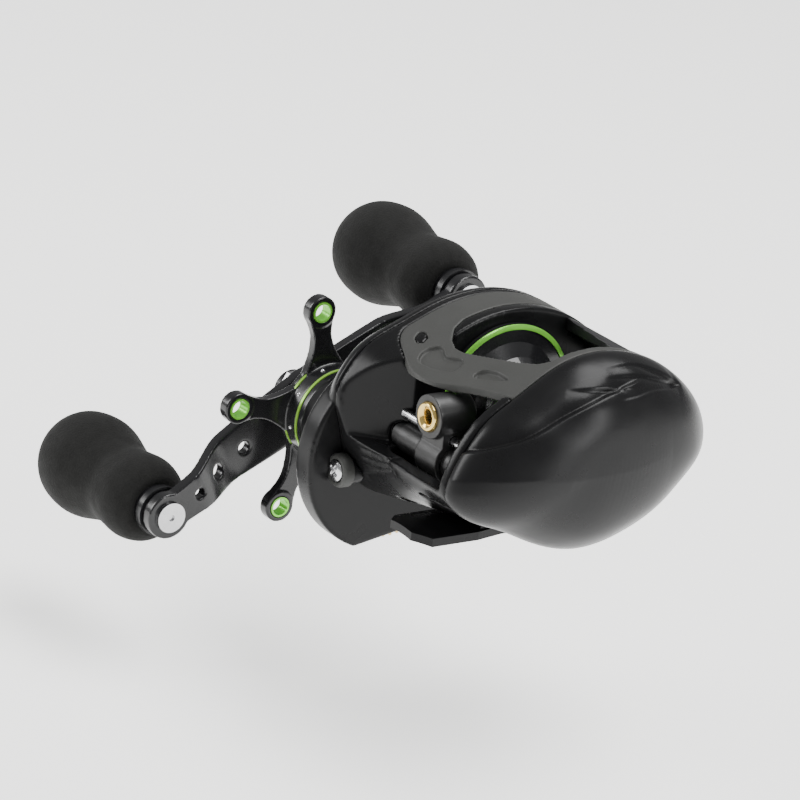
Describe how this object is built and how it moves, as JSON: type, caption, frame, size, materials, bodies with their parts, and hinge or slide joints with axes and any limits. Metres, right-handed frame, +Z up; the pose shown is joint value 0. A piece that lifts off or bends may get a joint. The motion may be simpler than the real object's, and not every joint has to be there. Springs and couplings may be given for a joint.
{
  "type": "baitcasting fishing reel",
  "caption": "Low-profile baitcasting fishing reel with a star drag, double-knob crank, level-wind line guide, thumb bar and rod foot.",
  "frame": {"origin": "middle of the reel foot, on the line joining the two lower edges of its saddle", "axes": "+Z up away from the rod, -Y towards the rod tip (the way the line leaves), -X towards the crank, +X towards the palm side"},
  "size_m": [0.1366, 0.1028, 0.0724],
  "materials": {
    "satin_black": "satin black paint on a cast alloy frame",
    "matte_cover": "matte dark grey",
    "thumb_black": "fine matte",
    "anodised_black": "black anodised, polished edges",
    "green_anodised": "bright green anodised",
    "foam": "closed-cell foam, fine grain",
    "stainless": "turned stainless steel",
    "brass": "machined brass",
    "gold_ring": "polished gold-coloured ceramic",
    "plastic_black": "moulded",
    "plastic_white": "moulded acetal",
    "carbon": "woven carbon washer"
  },
  "bodies": {
    "reel_body": {"frame": "satin_black", "reel_foot": "satin_black", "foot_rivets": "stainless", "hood": "matte_cover", "gear_case": "satin_black", "gear_plate": "plastic_black", "drive_shaft_bearing": "stainless", "one_way_clutch": "stainless", "yoke_posts": "stainless", "yoke_springs": "stainless", "spool_bearing_crank_side": "stainless", "worm_shield": "plastic_black", "guide_bar": "stainless", "worm_bushings": "plastic_white", "case_screws": "stainless"},
    "palm_plate": {"palm_side_plate": "satin_black", "brake_drum": "plastic_black", "spool_bearing_palm_side": "stainless"},
    "crank": {"drive_shaft": "brass", "main_gear": "brass", "drag_washers": "carbon", "drag_plates": "stainless", "pressure_plate": "brass", "clutch_sleeve": "stainless", "level_wind_drive_gear": "plastic_white", "spring_washers": "stainless", "crank_arm": "anodised_black", "crank_spacer": "stainless", "crank_nut": "stainless", "crank_nut_cap": "anodised_black", "knob_posts": "stainless"},
    "star": {"star_drag_wheel": "anodised_black", "star_rings": "green_anodised", "star_eyelets": "green_anodised"},
    "knob_front": {"knob_collar_front": "anodised_black", "knob_foam_front": "foam", "knob_bearings_front": "stainless", "knob_cap_front": "plastic_black"},
    "knob_rear": {"knob_collar_rear": "anodised_black", "knob_foam_rear": "foam", "knob_bearings_rear": "stainless", "knob_cap_rear": "plastic_black"},
    "spool": {"spool": "anodised_black", "spool_shaft": "stainless", "spool_cross_pin": "stainless", "brake_hub": "plastic_black", "brake_shoes": "plastic_white"},
    "yoke": {"clutch_yoke": "plastic_black"},
    "pinion": {"pinion_gear": "brass"},
    "worm": {"worm_shaft": "stainless", "worm_gear": "plastic_white"},
    "guide": {"line_guide": "plastic_black", "line_guide_eye": "gold_ring", "guide_pawl": "brass", "pawl_cap": "plastic_black"},
    "thumb_bar": {"thumb_bar": "thumb_black"},
    "cast_control": {"cast_control_cap": "anodised_black", "tension_disc": "carbon"}
  },
  "joints": [
    {"name": "crank_turn", "type": "hinge", "parent": "reel_body", "child": "crank", "pos_m": [0, -0.0137, 0.00825], "axis": [1, 0, 0], "continuous": true},
    {"name": "star_drag_turn", "type": "hinge", "parent": "crank", "child": "star", "pos_m": [-0.053, -0.0137, 0.00825], "axis": [1, 0, 0], "range_deg": [-360, 360]},
    {"name": "knob_front_spin", "type": "hinge", "parent": "crank", "child": "knob_front", "pos_m": [-0.08, -0.05267, -0.01425], "axis": [1, 0, 0], "continuous": true},
    {"name": "knob_rear_spin", "type": "hinge", "parent": "crank", "child": "knob_rear", "pos_m": [-0.08, 0.02527, 0.03075], "axis": [1, 0, 0], "continuous": true},
    {"name": "spool_turn", "type": "hinge", "parent": "reel_body", "child": "spool", "pos_m": [0, 0.00339, 0.0251], "axis": [1, 0, 0], "continuous": true},
    {"name": "worm_turn", "type": "hinge", "parent": "reel_body", "child": "worm", "pos_m": [0, -0.02087, 0.01787], "axis": [1, 0, 0], "continuous": true},
    {"name": "guide_travel", "type": "slide", "parent": "reel_body", "child": "guide", "axis": [1, 0, 0], "range_m": [-0.0075, 0.0075]},
    {"name": "thumb_press", "type": "slide", "parent": "reel_body", "child": "thumb_bar", "axis": [0, 0, -1], "range_m": [0, 0.004]},
    {"name": "yoke_shift", "type": "slide", "parent": "reel_body", "child": "yoke", "axis": [-1, 0, 0], "range_m": [0, 0.002], "deforming": ["yoke_springs"]},
    {"name": "pinion_turn", "type": "hinge", "parent": "yoke", "child": "pinion", "pos_m": [-0.025, 0.00339, 0.0251], "axis": [1, 0, 0], "continuous": true},
    {"name": "cast_control_turn", "type": "hinge", "parent": "reel_body", "child": "cast_control", "pos_m": [-0.039, 0.00339, 0.0251], "axis": [1, 0, 0], "range_deg": [-360, 360]},
    {"name": "palm_plate_off", "type": "slide", "parent": "reel_body", "child": "palm_plate", "axis": [1, 0, 0], "range_m": [0, 0.03]}
  ],
  "couplings": [
    {"joint": "spool_turn", "follows": "crank_turn", "ratio": -7},
    {"joint": "pinion_turn", "follows": "crank_turn", "ratio": -7},
    {"joint": "worm_turn", "follows": "crank_turn", "ratio": -1.4},
    {"joint": "yoke_shift", "follows": "thumb_press", "ratio": 0.5}
  ]
}
